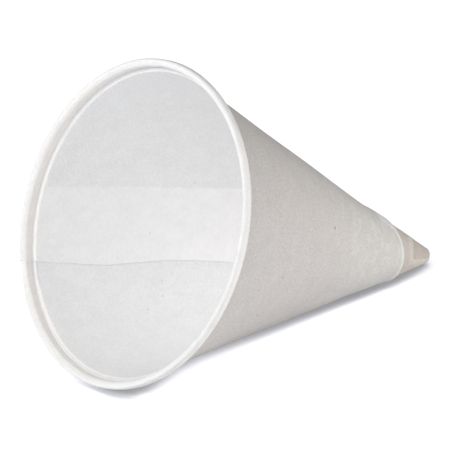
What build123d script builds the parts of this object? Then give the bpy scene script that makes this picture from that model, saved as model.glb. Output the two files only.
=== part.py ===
from build123d import *
from math import asin, atan2, cos, degrees, hypot, radians, sin, sqrt, tan
import os

# Rolled-rim cone cup wound from one sheet of paper, standing mouth down on its rim.
# The origin is the centre of the rim's resting plane, and +Z runs along the axis to the tip.
# Sizes are in millimetres and angles in degrees. Azimuths turn from +X towards +Y.

# Cone
mouth_radius = 35.2  # outer face of the single wall, carried on down to the resting plane
cone_height = 94.5  # sharp apex of that face above the resting plane
paper = 0.25  # thickness of the sheet

# Seam, where the sheet laps over its own start edge
seam_lap = 17.3  # width of the double strip, square to the start edge
seam_middle = 90.0  # azimuth of the middle of the strip at the mouth
climb_turn = 14.0  # turn over which the sheet climbs on to its start edge
heel_height = 3.2  # top of the strip's square-ended heel, which covers the ledge's bend
heel_overlap = 0.5  # how far the slanted strip is sunk into the heel
heel_turn = 29.5  # turn of the heel from the start edge

# Rolled rim
rim_stand_off = 1.3  # outside of the roll, out from the wall's face at the resting plane
roll_width = 1.45  # roll, measured along the radius
roll_height = 1.85  # roll, measured along the axis
roll_ease = 0.45  # how far the roll's corners are eased back along the centreline
roll_gap = 0.3  # slot left inside the roll at the sheet's free edge
bond = 0.03  # how far the second thickness in the roll is pressed into the first
shoulder_height = 2.1  # centreline of the ledge between wall and roll
shoulder_drop = 0.15  # how far the ledge falls towards the roll

# Lifted hem, where the outer wrap ends short of the tip and flares off the wall
hem_drop = 19.8  # from the sharp apex down to the hem's edge, on the axis
hem_tilt = 23.6  # slant of the plane that the edge lies in
hem_heading = -31.0  # azimuth at which the edge reaches furthest towards the tip
hem_lift = 0.7  # how far the edge's outer face stands off the line of the wall
root_drop = 26.8  # from the sharp apex down to where the hem leaves the wall, on the axis
root_tilt = 37.3  # slant of the plane in which it leaves the wall

# Tip, wound solid from the inner plies
tip_radius = 1.6  # rounded end
cavity_drop = 6.0  # from the sharp apex down to the closed end of the cavity
hollow_share = 0.4  # share of the flare that is open underneath, back from the edge
tuck_share = 0.55  # share of the flare that the tip's plies run up under the hem

# Sizes worked out from those above
half_angle = degrees(atan2(mouth_radius, cone_height))
slope = tan(radians(half_angle))
slant_length = hypot(mouth_radius, cone_height)
ply = paper / cos(radians(half_angle))  # thickness of one ply along the radius
rim_radius = mouth_radius + rim_stand_off
cavity_height = cone_height - cavity_drop


def face_radius(height, plies):
    """Radius of the wall at a height, so many plies out from its inner face."""
    return (cone_height - height) * slope + (plies - 1) * ply


def turn_across(width, slant):
    """Turn about the axis that spans a width of flat sheet, at a distance from the apex."""
    return degrees(asin(width / slant)) / sin(radians(half_angle))


def heading(azimuth, radius=1.0, height=0.0):
    """Point at an azimuth, radius and height."""
    return Vector(radius * cos(radians(azimuth)), radius * sin(radians(azimuth)), height)


def meridian(azimuth):
    """Plane through the axis, with its own x pointing outwards and its own y up."""
    return Plane(origin=(0, 0, 0), x_dir=heading(azimuth), z_dir=heading(azimuth - 90))


def lap_point(slant):
    """Point of the sheet's end edge, at a distance from the apex."""
    height = cone_height - slant * cos(radians(half_angle))
    azimuth = seam_start + turn_across(seam_lap, slant)
    return heading(azimuth, face_radius(height, 1), height)


def flare_drop(share):
    """Drop from the sharp apex to a plane across the flare, 0 at the edge and 1 at its root."""
    return hem_drop + share * (root_drop - hem_drop)


def flare_tilt(share):
    """Slant of that plane, in radians."""
    return radians(hem_tilt + share * (root_tilt - hem_tilt))


def flare_plane(share):
    """Slanted plane across the flare, with its own x pointing up the slant."""
    tilt = flare_tilt(share)
    return Plane(
        origin=(0, 0, cone_height - flare_drop(share)),
        x_dir=heading(hem_heading, cos(tilt), sin(tilt)),
        z_dir=heading(hem_heading, -sin(tilt), cos(tilt)),
    )


def slanted_section(share, stand_off):
    """Ellipse cut by a flare plane from a cone that stands off the wall's outer face."""
    drop = flare_drop(share) + stand_off / sin(radians(half_angle))
    along = cos(flare_tilt(share))
    rise = sin(flare_tilt(share))
    uphill = drop * slope / (along + rise * slope)
    downhill = drop * slope / (along - rise * slope)
    middle = (uphill - downhill) / 2
    half_width = sqrt((slope * (drop - middle * rise)) ** 2 - (middle * along) ** 2)
    with Locations((middle, 0)):
        Ellipse((uphill + downhill) / 2, half_width)


seam_start = seam_middle - turn_across(seam_lap, slant_length) / 2
climb_start = seam_start - climb_turn

# The end edge lies parallel to the start edge on the flat sheet. On the cone, a plane through
# three of its points follows it closely.
edge_near_rim = lap_point(slant_length)
edge_middle = lap_point(0.55 * slant_length)
edge_near_hem = lap_point(0.3 * slant_length)
end_edge_plane = Plane(
    origin=edge_middle,
    z_dir=(edge_near_rim - edge_middle).cross(edge_near_hem - edge_middle),
)

roll_inside = rim_radius - roll_width + paper / 2
roll_outside = rim_radius - paper / 2
wall_end = cavity_height + paper  # the sheet's section runs on this far into the wound tip


def roll_line(inset):
    """Centreline of the sheet in the roll, from its free edge to the ledge, set inwards."""
    inside = roll_inside + inset
    outside = roll_outside - inset
    bottom = paper / 2 + inset
    top = roll_height - paper / 2 - inset
    ease = roll_ease - (2 - sqrt(2)) * inset
    return [
        (roll_inside + paper + roll_gap, top),
        (outside - ease, top),
        (outside, top - ease),
        (outside, bottom + ease),
        (outside - ease, bottom),
        (inside + ease, bottom),
        (inside, bottom + ease),
        (inside, shoulder_height - shoulder_drop),
    ]


# The sheet in its single thickness, all round
with BuildPart() as sheet:
    with BuildSketch(Plane.XZ):
        with BuildLine():
            Polyline(
                *roll_line(0),
                (face_radius(shoulder_height, 0.5), shoulder_height),
                (face_radius(wall_end, 0.5), wall_end),
            )
        trace(line_width=paper)
    revolve(axis=Axis.Z)

# Inside of the wall to half its thickness, taken out of the solid hem and tip
with BuildPart() as wall_core:
    with BuildSketch(Plane.XZ):
        with BuildLine():
            Polyline(
                (0, shoulder_height),
                (face_radius(shoulder_height, 0.5), shoulder_height),
                (face_radius(cavity_height, 0.5), cavity_height),
                (0, cavity_height),
                close=True,
            )
        make_face()
    revolve(axis=Axis.Z)

# The second thickness inside the roll, over the climb and the double strip
double_turn = climb_turn + turn_across(seam_lap, slant_length)
inset = paper - bond
with BuildPart() as double_roll:
    with BuildSketch(meridian(climb_start)):
        with BuildLine():
            Polyline(*roll_line(inset))
        trace(line_width=paper)
    revolve(axis=Axis.Z, revolution_arc=double_turn)


def strip_outline(low, high):
    """Outline of the second ply between two heights, sunk half-way into the first."""
    Polyline(
        (face_radius(low, 0.5), low),
        (face_radius(low, 2), low),
        (face_radius(high, 2), high),
        (face_radius(high, 0.5), high),
        close=True,
    )


# The second ply over the start edge, cut off along the sheet's end edge and under the hem
with BuildPart() as lap:
    with BuildSketch(meridian(seam_start)):
        with BuildLine():
            strip_outline(heel_height - heel_overlap, cavity_height)
        make_face()
    revolve(axis=Axis.Z, revolution_arc=turn_across(seam_lap, root_drop))
    split(bisect_by=end_edge_plane, keep=Keep.BOTTOM)
    split(bisect_by=flare_plane(tuck_share), keep=Keep.BOTTOM)

# The square-ended heel of that strip, between the ledge and the wall
with BuildPart() as heel:
    with BuildSketch(meridian(seam_start)):
        with BuildLine():
            strip_outline(shoulder_height, heel_height)
        make_face()
    revolve(axis=Axis.Z, revolution_arc=heel_turn)


def climb_outline(low, high, floor):
    """Outline of a wedge over the climb, between a floor radius and a face that rises."""
    half_way = heading(climb_start + climb_turn / 2, (low + high) / 2)
    rise = ThreePointArc(heading(climb_start, low), half_way, heading(seam_start, high))
    Line(rise @ 1, heading(seam_start, floor))
    CenterArc((0, 0), floor, seam_start, -climb_turn)
    Line(heading(climb_start, floor), rise @ 0)


# The climb of the outer face on to the start edge
with BuildPart() as climb:
    for level in (shoulder_height, cavity_height):
        with BuildSketch(Plane.XY.offset(level)):
            with BuildLine():
                climb_outline(*[face_radius(level, plies) for plies in (1, 2, 0.5)])
            make_face()
    loft(ruled=True)
    split(bisect_by=flare_plane(tuck_share), keep=Keep.BOTTOM)

# The same climb of the inner face, which leaves the start edge standing as a step inside
with BuildPart() as inner_climb:
    for level in (shoulder_height - paper, cavity_height):
        with BuildSketch(Plane.XY.offset(level)):
            with BuildLine():
                climb_outline(*[face_radius(level, plies) for plies in (0, 1, -1)])
            make_face()
    loft(ruled=True)

# The step's last stretch, across the inner side of the roll
band = roll_inside - paper / 2
with BuildPart() as roll_climb:
    with BuildSketch(Plane.XY):
        with BuildLine():
            climb_outline(band, band + inset, band - paper)
        make_face()
    extrude(amount=shoulder_height - shoulder_drop - paper / 2)

# The flared hem, solid to the wall at its root and hollow under its edge
with BuildPart() as hem:
    with BuildSketch(flare_plane(1)):
        slanted_section(1, 0)
    with BuildSketch(flare_plane(0)):
        slanted_section(0, hem_lift)
    loft(ruled=True)
    with BuildSketch(flare_plane(hollow_share)):
        slanted_section(hollow_share, (1 - hollow_share) * hem_lift - paper)
    with BuildSketch(flare_plane(0)):
        slanted_section(0, hem_lift - paper)
    loft(ruled=True, mode=Mode.SUBTRACT)
    add(wall_core.part, mode=Mode.SUBTRACT)

# The tip, one ply outside the line of the wall, from under the hem to its rounded end
tip_apex = cone_height + ply / slope
tip_centre = tip_apex - tip_radius / sin(radians(half_angle))
tip_foot = cone_height - 2 * root_drop
with BuildPart() as tip:
    with BuildSketch(Plane.XZ):
        with BuildLine():
            end = CenterArc((0, tip_centre), tip_radius, half_angle, 90 - half_angle)
            Polyline(end @ 0, (face_radius(tip_foot, 2), tip_foot), (0, tip_foot), end @ 1)
        make_face()
    revolve(axis=Axis.Z)
    split(bisect_by=flare_plane(tuck_share), keep=Keep.TOP)
    add(wall_core.part, mode=Mode.SUBTRACT)

# The whole cup
with BuildPart() as cone_cup:
    add(sheet.part)
    add(double_roll.part)
    add(lap.part)
    add(heel.part)
    add(climb.part)
    add(hem.part)
    add(tip.part)
    add(inner_climb.part, mode=Mode.SUBTRACT)
    add(roll_climb.part, mode=Mode.SUBTRACT)

cone_cup.part.label = "cone_cup"
os.makedirs("parts", exist_ok=True)
export_step(cone_cup.part, "parts/cone_cup.step")
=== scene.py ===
"""Rolled-rim cone cup, wound from one sheet of white paper, lying on a pale table.

The visible sheet is drawn as the outline of its section, spun into an open wrap and wound shut: a
single wall, the double strip over its start edge, the rolled rim, the lifted hem and the tip wound
from the inner plies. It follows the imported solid's sizes, with a deeper ledge and a wider roll.
Sizes are in millimetres until a point enters a mesh.
"""

import logging
from collections.abc import Iterator
from contextlib import contextmanager
from dataclasses import dataclass, field
from enum import Enum
from math import asin, atan2, cos, degrees, hypot, pi, radians, sin, tan
from typing import Any

import bpy
from mathutils import Matrix, Vector


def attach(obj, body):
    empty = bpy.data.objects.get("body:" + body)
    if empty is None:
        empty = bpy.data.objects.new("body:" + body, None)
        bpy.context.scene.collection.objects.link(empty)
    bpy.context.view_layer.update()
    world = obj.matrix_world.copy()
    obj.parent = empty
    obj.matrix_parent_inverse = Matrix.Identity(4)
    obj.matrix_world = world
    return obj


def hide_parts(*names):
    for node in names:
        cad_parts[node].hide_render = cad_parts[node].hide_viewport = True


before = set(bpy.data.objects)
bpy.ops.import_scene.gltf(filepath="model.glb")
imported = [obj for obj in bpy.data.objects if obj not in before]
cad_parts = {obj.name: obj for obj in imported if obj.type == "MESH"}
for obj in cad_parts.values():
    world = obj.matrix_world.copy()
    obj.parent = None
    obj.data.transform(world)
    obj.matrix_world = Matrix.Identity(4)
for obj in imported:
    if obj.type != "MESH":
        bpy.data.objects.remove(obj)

LOG = logging.getLogger("cone_cup")
MM = 0.001

Pair = tuple[float, float]
Triple = tuple[float, float, float]
Colour = Triple
Knots = tuple[Pair, ...]
Values = dict[Any, Any]
Node = bpy.types.Node
Socket = bpy.types.NodeSocket


def smooth(share: float) -> float:
    """Eases a share from 0 to 1 with level ends."""
    share = min(max(share, 0.0), 1.0)
    return share * share * (3.0 - 2.0 * share)


def line_through(knots: Knots, at: float) -> float:
    """Reads a line drawn through a few points.

    Args:
        knots: Pairs of place and value, in rising order of place.
        at: Place to read.

    Returns:
        The value there, level beyond either end.
    """
    if at <= knots[0][0]:
        return knots[0][1]
    for (low, first), (high, second) in zip(knots, knots[1:]):
        if at <= high:
            return first + (second - first) * (at - low) / (high - low)
    return knots[-1][1]


@contextmanager
def editing() -> Iterator[None]:
    """Opens the active mesh with all of it selected, and closes it at the end.

    Returns:
        Nothing to work with: the steps inside work on what is selected.
    """
    bpy.ops.object.mode_set(mode="EDIT")
    bpy.ops.mesh.select_all(action="SELECT")
    yield
    bpy.ops.object.mode_set(mode="OBJECT")


@dataclass(frozen=True)
class ConeSizes:
    """Sizes of the cone and its sheet, as the solid has them, and how uneven the wall is.

    Attributes:
        mouth_radius: Outer face of the single wall, carried down to the resting plane.
        height: Sharp apex of that face above the resting plane.
        paper: Thickness of the sheet.
        cavity_height: Closed end of the cavity.
        squash: How far the mouth is out of round, as a share of its radius.
        squash_azimuth: Azimuth of the long axis of the mouth.
        round_to: Distance from the apex up to which the wall is round.
        round_run: Stretch over which it then goes out of round.
        waviness: How far the wall waves in and out.
        wave_pitches: How fast the waves turn along the wall, in radians a millimetre.
        wave_run: Distance from the apex over which the waves grow to their full height.
        wave_core: Distance from the axis over which they do so too.
    """

    mouth_radius: float = 35.2
    height: float = 94.5
    paper: float = 0.25
    cavity_height: float = 88.5
    squash: float = 0.0327
    squash_azimuth: float = -117.0
    round_to: float = 12.0
    round_run: float = 26.0
    waviness: float = 0.05
    wave_pitches: Triple = (0.11, 0.083, 0.19)
    wave_run: float = 40.0
    wave_core: float = 4.0

    @property
    def half_angle(self) -> float:
        """Half angle of the cone, in radians."""
        return atan2(self.mouth_radius, self.height)

    @property
    def slant(self) -> float:
        """Distance from the sharp apex to the mouth, along the wall."""
        return hypot(self.mouth_radius, self.height)

    def wall(self, slant: float, stand_off: float) -> tuple[float, float]:
        """Radius and height of a point on the wall.

        Args:
            slant: Distance from the sharp apex along the wall's outer face.
            stand_off: Distance outwards from that face.

        Returns:
            Radius and height.
        """
        across = sin(self.half_angle)
        along = cos(self.half_angle)
        return slant * across + stand_off * along, self.height - slant * along + stand_off * across

    def slant_at(self, height: float) -> float:
        """Distance from the apex along the wall, at a height."""
        return (self.height - height) / cos(self.half_angle)

    def out_of_round(self, azimuth: float, slant: float) -> float:
        """How far the wall is pressed out of round, which fades towards the tip.

        Args:
            azimuth: Azimuth in degrees.
            slant: Distance from the apex along the wall.

        Returns:
            Gain of radius, as a share of it.
        """
        fade = smooth((slant - self.round_to) / self.round_run)
        return self.squash * fade * cos(2.0 * radians(azimuth - self.squash_azimuth))

    def wave(self, turned: float, slant: float, radius: float) -> float:
        """How far the wall waves in or out at a point.

        Args:
            turned: Azimuth in radians.
            slant: Distance from the apex along the wall.
            radius: Distance from the axis.

        Returns:
            Gain of radius.
        """
        first, second, third = self.wave_pitches
        broad = sin(2.0 * turned + slant * first) * sin(slant * second + turned)
        close = sin(5.0 * turned - slant * third)
        fade = smooth(slant / self.wave_run) * smooth(radius / self.wave_core)
        return self.waviness * (broad + 0.5 * close) * fade


@dataclass(frozen=True)
class SeamSizes:
    """Sizes of the seam.

    Attributes:
        lap: Width of the double strip, square to the start edge.
        middle: Azimuth of the middle of the strip at the mouth.
        climb: Turn over which the sheet climbs on to its start edge.
        widest_at: Distance from the apex below which the strip gets no wider in turn.
        drift: How far the end edge strays, in degrees, at distances from the apex.
        ragged: How ragged the start edge is, in degrees.
        ragged_pitches: How fast that changes along the edge, in radians a millimetre.
        waver: How far the start edge wavers, in degrees, at distances from the apex.
        shown: How much whiter the double strip is deep inside and at the mouth, as shares.
        shown_from: Distance from the apex at which that starts to fall, over as much again.
    """

    lap: float = 17.3
    middle: float = 90.0
    climb: float = 14.0
    widest_at: float = 30.0
    drift: Knots = (
        (30.0, 0.0), (42.0, 1.9), (48.0, 1.9), (60.0, 1.0), (72.0, 0.3), (84.0, 0.0),
    )
    ragged: float = 0.16
    ragged_pitches: Pair = (5.1, 1.7)
    waver: Knots = (
        (42.0, 0.0), (50.4, -1.0), (54.0, -0.3), (57.7, 0.4), (62.5, 0.7),
        (67.3, 0.7), (71.6, 0.2), (75.7, -0.55), (81.4, -1.3), (85.2, -0.85),
        (89.9, -0.15), (94.6, 0.35), (99.5, 0.95), (101.0, 1.2),
    )
    shown: Pair = (0.78, 0.5)
    shown_from: float = 45.0

    def start_waver(self, slant: float) -> float:
        """How far the start edge is off its straight line.

        Args:
            slant: Distance from the apex.

        Returns:
            The turn, in degrees.
        """
        first, second = self.ragged_pitches
        ragged = self.ragged * sin(slant * first) * sin(slant * second)
        return line_through(self.waver, slant) + ragged

    def showing(self, slant: float) -> float:
        """How much whiter the double strip is at a distance from the apex, as a share."""
        deep, mouth = self.shown
        return deep + (mouth - deep) * smooth((slant - self.shown_from) / self.shown_from)


@dataclass(frozen=True)
class RimSizes:
    """Sizes of the roll and the ledge behind it.

    Attributes:
        radius: Outside of the roll.
        width: Roll along the radius.
        height: Roll along the axis.
        bend: Centreline bends of the roll's outer side.
        inner_bend: Centreline bend of its inner side.
        gap: Slot left inside the roll at the free edge.
        shoulder: Height of the crease where the wall turns out into the ledge.
        shoulder_drop: How far the ledge falls towards the roll.
        crease_bend: Centreline bend of the crease.
        cove_bend: Centreline bend between the ledge and the roll.
        lead: Length of wall that is drawn together with the rim.
        side_from: Height at which the painted light on the roll's sides starts.
        side_run: Height over which it comes in.
        ledge_from: How far inside the crease the painted shade on the ledge starts.
        ledge_run: Width over which it comes in.
        ledge_level: Height over which it fades above and below the ledge.
        ledge_lap: How much less of it there is over the seam, as a share.
    """

    radius: float = 36.5
    width: float = 1.7
    height: float = 1.85
    bend: float = 0.45
    inner_bend: float = 0.95
    gap: float = 0.3
    shoulder: float = 2.8
    shoulder_drop: float = 0.12
    crease_bend: float = 0.2
    cove_bend: float = 0.4
    lead: float = 2.5
    side_from: float = 0.12
    side_run: float = 0.6
    ledge_from: float = 0.14
    ledge_run: float = 0.24
    ledge_level: float = 0.25
    ledge_lap: float = 0.35


@dataclass(frozen=True)
class HemSizes:
    """Sizes of the lifted hem near the tip.

    Attributes:
        drop: From the sharp apex down to the edge's plane, on the axis.
        tilt: Slant of that plane.
        heading: Azimuth at which the edge reaches furthest towards the tip.
        flare: Mean length of the flare, back from the edge.
        flare_swing: How much longer it is at the azimuth of flare_heading, and shorter opposite.
        flare_heading: Azimuth of the longest flare.
        flare_least: Shortest length of the flare.
        lift: Mean distance of the edge from the line of the wall.
        lift_swing: How much more it is at the azimuth of lift_heading, and less opposite.
        lift_heading: Azimuth of the greatest lift.
        lip: How far the last of the edge curls out.
        lip_length: Length of that curl.
        hollow: Share of the flare that is open underneath.
        end_edge: Azimuths at which the outer wrap ends on the flare, at distances from the apex.
        edge_bulge: How far the cut edge bulges, as a share of the paper's thickness.
        line: Width of the painted highlight along the outer wrap's edges.
        line_fade: Stretch over which it fades at its end.
        cockle: Distance below the flare's root at which the cockled paper, and the painted light on
            it, end.
        cockle_run: Stretch below the root over which it fades, besides the flare itself.
    """

    drop: float = 19.8
    tilt: float = 23.6
    heading: float = -31.0
    flare: float = 4.6
    flare_swing: float = 4.3
    flare_heading: float = 240.0
    flare_least: float = 4.0
    lift: float = 0.37
    lift_swing: float = 0.16
    lift_heading: float = 207.0
    lip: float = 0.05
    lip_length: float = 0.55
    hollow: float = 0.45
    end_edge: Knots = (
        (21.6, 233.0), (22.8, 224.5), (25.2, 219.3), (27.9, 217.8), (29.0, 217.2),
    )
    edge_bulge: float = 0.35
    line: float = 1.3
    line_fade: float = 1.5
    cockle: float = 30.0
    cockle_run: float = 22.0


@dataclass(frozen=True)
class TipSizes:
    """Sizes of the tip that comes out from under the hem.

    Attributes:
        radius: Rounded end.
        stand_off: Mean distance of its face from the line of the wall.
        lean_heading: Azimuth to which the tip leans.
        lean_at: Distance from the apex at which its sideways shift is lean_shift.
        lean_shift: Sideways shift there.
        lean_slope: Gain of shift for each millimetre nearer the apex.
        ply_edge: Distance from the apex of the last ply's edge across the tip, at its furthest.
        ply_heading: Azimuth at which that edge is furthest from the apex.
        ply_bow: How fast that edge nears the apex on either side.
        ply_step: Height of that edge.
        ply_turn: Azimuth of the same ply's edge along the tip, at ply_edge.
        ply_slew: Change of that azimuth for each millimetre nearer the apex.
        ply_span: Turn from that edge back to where the same ply comes out.
        ply_rise: Turn over which it comes out.
        lip: Width of the painted highlight behind the edge across the tip.
        side_lip: Turn of the painted highlight beside the edge along the tip.
        lip_past: Turn by which the first highlight runs on past that edge.
        lip_fade: Turn over which it fades there.
        free_run: Stretch beyond the hem's edge over which the tip's face comes free of it.
        clearance: Room between the tip's face and the hem above it.
        bluntness: Height of the rounded end, as a share of a half ball's.
    """

    radius: float = 1.8
    stand_off: float = 0.165
    lean_heading: float = 185.0
    lean_at: float = 18.0
    lean_shift: float = 0.22
    lean_slope: float = 0.024
    ply_edge: float = 13.75
    ply_heading: float = 264.0
    ply_bow: float = 6.57
    ply_step: float = 0.1
    ply_turn: float = 285.7
    ply_slew: float = 0.6
    ply_span: float = 150.0
    ply_rise: float = 25.0
    lip: float = 2.9
    side_lip: float = 55.0
    lip_past: float = 22.0
    lip_fade: float = 16.0
    free_run: float = 0.5
    clearance: float = 0.03
    bluntness: float = 0.66

    def shift(self, slant: float) -> float:
        """How far the leaning tip is shifted sideways, at a distance from the apex."""
        return self.lean_shift + self.lean_slope * (self.lean_at - slant)


class Skin(Enum):
    """Stretch of the sheet's outline, in order from the inside of the tip to its outside."""

    CAVITY_END = "cavity end"
    INSIDE = "inside of the wall"
    RIM_INSIDE = "inner side of the sheet in the ledge and the roll"
    FREE_EDGE = "free edge in the roll"
    RIM_OUTSIDE = "outer side of the sheet in the roll and the ledge"
    WALL = "outside of the wall"
    FLARE = "flare"
    HEM_EDGE = "cut edge of the hem"
    HEM_UNDER = "underside of the hem"
    TIP = "tip"
    TIP_END = "rounded end"


@dataclass(frozen=True)
class Station:
    """One place along the outline of the sheet's section.

    Attributes:
        skin: Stretch that it belongs to.
        share: Place along that stretch, from 0 to 1, or a point's number in the ledge and the roll.
    """

    skin: Skin
    share: float


@dataclass(frozen=True)
class Turn:
    """One place round the cup, in the order in which the sheet is wound.

    Attributes:
        strip: Share of the way across the double strip, or None past it.
        round: Share of the way from the strip to the climb, or None elsewhere.
        climb: Share of the way up the climb, or None elsewhere.
        outer_plies: Plies added on the outside.
        inner_plies: Plies by which the inside has moved out.
    """

    strip: float | None = None
    round: float | None = None
    climb: float | None = None
    outer_plies: float = 0.0
    inner_plies: float = 0.0


@dataclass
class SectionLine:
    """Centreline of the sheet's section, from the wall round the ledge and the roll.

    Attributes:
        cone: Sizes of the cone.
        rim: Sizes of the rim.
        bend_steps: Steps round each bend.
        step: Longest step on a straight run.
        points: Radius and height, and outward direction, of each point in order.
    """

    cone: ConeSizes
    rim: RimSizes
    bend_steps: int = 5
    step: float = 0.45
    points: list[tuple[Vector, Vector]] = field(default_factory=list)

    def corners(self) -> list[tuple[Vector, float]]:
        """Gives the corners of the line and the radius of each bend.

        Returns:
            Corner and radius, from the wall to the free edge.
        """
        rim, paper = self.rim, self.cone.paper
        inside = rim.radius - rim.width + paper / 2
        outside = rim.radius - paper / 2
        top = rim.height - paper / 2
        slant = self.cone.slant_at(rim.shoulder)
        start = Vector(self.cone.wall(slant - rim.lead, -paper / 2))
        foot = Vector(self.cone.wall(slant, -paper / 2))
        return [
            (start, 0.0),
            (foot, rim.crease_bend),
            (Vector((inside, rim.shoulder - rim.shoulder_drop)), rim.cove_bend),
            (Vector((inside, paper / 2)), rim.inner_bend),
            (Vector((outside, paper / 2)), rim.bend),
            (Vector((outside, top)), rim.bend),
            (Vector((inside + paper + rim.gap, top)), 0.0),
        ]

    def trace(self) -> None:
        """Lays points along the line, with its bends rounded, and keeps their directions."""
        corners = self.corners()
        path = [corners[0][0]]
        for before, (corner, radius), after in zip(corners, corners[1:], corners[2:]):
            path += self.bend(before[0], corner, after[0], radius)
        path.append(corners[-1][0])
        path = self.thin_out(path)
        for index, point in enumerate(path):
            ahead = path[min(index + 1, len(path) - 1)] - point
            behind = point - path[max(index - 1, 0)]
            along = (ahead.normalized() + behind.normalized()).normalized()
            self.points.append((point, Vector((-along.y, along.x))))

    def bend(self, before: Vector, corner: Vector, after: Vector, radius: float) -> list[Vector]:
        """Rounds one corner.

        Args:
            before: Corner before it.
            corner: The corner.
            after: Corner after it.
            radius: Radius of the bend.

        Returns:
            Points along the bend.
        """
        back = (before - corner).normalized()
        on = (after - corner).normalized()
        half = back.angle(on) / 2
        centre = corner + (back + on).normalized() * (radius / sin(half))
        first = corner + back * (radius / tan(half)) - centre
        last = corner + on * (radius / tan(half)) - centre
        turn = first.angle_signed(last)
        steps = self.bend_steps
        return [centre + Matrix.Rotation(-turn * k / steps, 2) @ first for k in range(steps + 1)]

    def thin_out(self, path: list[Vector]) -> list[Vector]:
        """Adds points on long runs, so that none is much longer than the longest step.

        Args:
            path: Points of the line.

        Returns:
            The same line with the added points.
        """
        full = [path[0]]
        for point in path[1:]:
            run = point - full[-1]
            pieces = max(1, round(run.length / self.step))
            last = full[-1].copy()
            full += [last + run * (k / pieces) for k in range(1, pieces + 1)]
        return full


class Reading:
    """A number on a shader socket that takes part in arithmetic."""

    def __init__(self, graph: "Graph", socket: Socket) -> None:
        """Keeps the graph and the socket that holds the number."""
        self.graph = graph
        self.socket = socket

    def _with(self, operation: str, first: Any, second: Any) -> "Reading":
        """Adds a Math node.

        Args:
            operation: What the node does.
            first: Its first value.
            second: Its second value.

        Returns:
            The node's result.
        """
        node = self.graph.node("ShaderNodeMath", {"operation": operation}, {0: first, 1: second})
        return Reading(self.graph, node.outputs[0])

    def __add__(self, other: Any) -> "Reading":
        """Adds."""
        return self._with("ADD", self, other)

    def __radd__(self, other: Any) -> "Reading":
        """Adds to a plain number."""
        return self._with("ADD", other, self)

    def __sub__(self, other: Any) -> "Reading":
        """Takes away."""
        return self._with("SUBTRACT", self, other)

    def __rsub__(self, other: Any) -> "Reading":
        """Takes it from a plain number."""
        return self._with("SUBTRACT", other, self)

    def __mul__(self, other: Any) -> "Reading":
        """Multiplies."""
        return self._with("MULTIPLY", self, other)

    def __rmul__(self, other: Any) -> "Reading":
        """Multiplies a plain number."""
        return self._with("MULTIPLY", other, self)

    def __gt__(self, other: Any) -> "Reading":
        """Gives 1 where it is greater."""
        return self._with("GREATER_THAN", self, other)

    def __lt__(self, other: Any) -> "Reading":
        """Gives 1 where it is less."""
        return self._with("LESS_THAN", self, other)

    def at_least(self, other: Any) -> "Reading":
        """Gives the greater of the two."""
        return self._with("MAXIMUM", self, other)


class Graph:
    """The node tree of a material or of the world, built from nothing."""

    def __init__(self, tree: bpy.types.NodeTree) -> None:
        """Empties the tree and keeps it."""
        self.tree = tree
        tree.nodes.clear()

    def node(self, kind: str, settings: Values, inputs: Values) -> Node:
        """Adds a node.

        Args:
            kind: Blender's name of the node type.
            settings: Its own settings, which are set first. A list of stops fills a ramp.
            inputs: Values or links of its sockets, by name or number.

        Returns:
            The node.
        """
        node = self.tree.nodes.new(kind)
        for name, value in settings.items():
            if name == "stops":
                self.fill_ramp(node, value)
            else:
                setattr(node, name, value)
        for key, value in inputs.items():
            if isinstance(value, Reading):
                self.tree.links.new(value.socket, node.inputs[key])
            elif isinstance(value, Socket):
                self.tree.links.new(value, node.inputs[key])
            else:
                node.inputs[key].default_value = value
        return node

    @staticmethod
    def fill_ramp(node: Node, stops: list[Pair]) -> None:
        """Sets a ramp's stops.

        Args:
            node: The ramp.
            stops: Place and grey level of each stop.
        """
        elements = node.color_ramp.elements
        while len(elements) < len(stops):
            elements.new(0.5)
        for element, (place, level) in zip(elements, stops):
            element.position = place
            element.color = (level, level, level, 1.0)

    def read(self, kind: str, settings: Values, inputs: Values, output: Any = 0) -> Reading:
        """Adds a node and reads a number from it.

        Args:
            kind: Blender's name of the node type.
            settings: Its own settings.
            inputs: Values or links of its sockets.
            output: Name or number of the socket to read.

        Returns:
            The number.
        """
        return Reading(self, self.node(kind, settings, inputs).outputs[output])

    def blend(self, share: Any, first: Any, second: Any) -> Socket:
        """Blends two colours.

        Args:
            share: How much of the second, from 0 to 1.
            first: First colour or socket.
            second: Second colour or socket.

        Returns:
            The socket of the blended colour.
        """
        below, above = (
            colour if isinstance(colour, Socket) else (*colour, 1.0)
            for colour in (first, second)
        )
        settings = {"data_type": "RGBA", "blend_type": "MIX", "clamp_factor": True}
        return self.node("ShaderNodeMix", settings, {0: share, 6: below, 7: above}).outputs[2]

    def mix_shaders(self, share: Any, first: Node, second: Node) -> Node:
        """Mixes two shader nodes, with a share of the second."""
        inputs = {0: share, 1: first.outputs[0], 2: second.outputs[0]}
        return self.node("ShaderNodeMixShader", {}, inputs)

    def ease(self, number: Any, start: Any, end: float) -> Reading:
        """Turns a number into a share that eases from 0 at the start to 1 at the end."""
        inputs = {0: number, 1: start, 2: end, 3: 0.0, 4: 1.0}
        return self.read("ShaderNodeMapRange", {"interpolation_type": "SMOOTHSTEP"}, inputs)

    def coloured(self, kind: str, colour: Colour, **others: Any) -> Node:
        """Adds a shader of one colour, with its other inputs by name."""
        return self.node(kind, {}, {"Color": (*colour, 1.0), **others})


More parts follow.
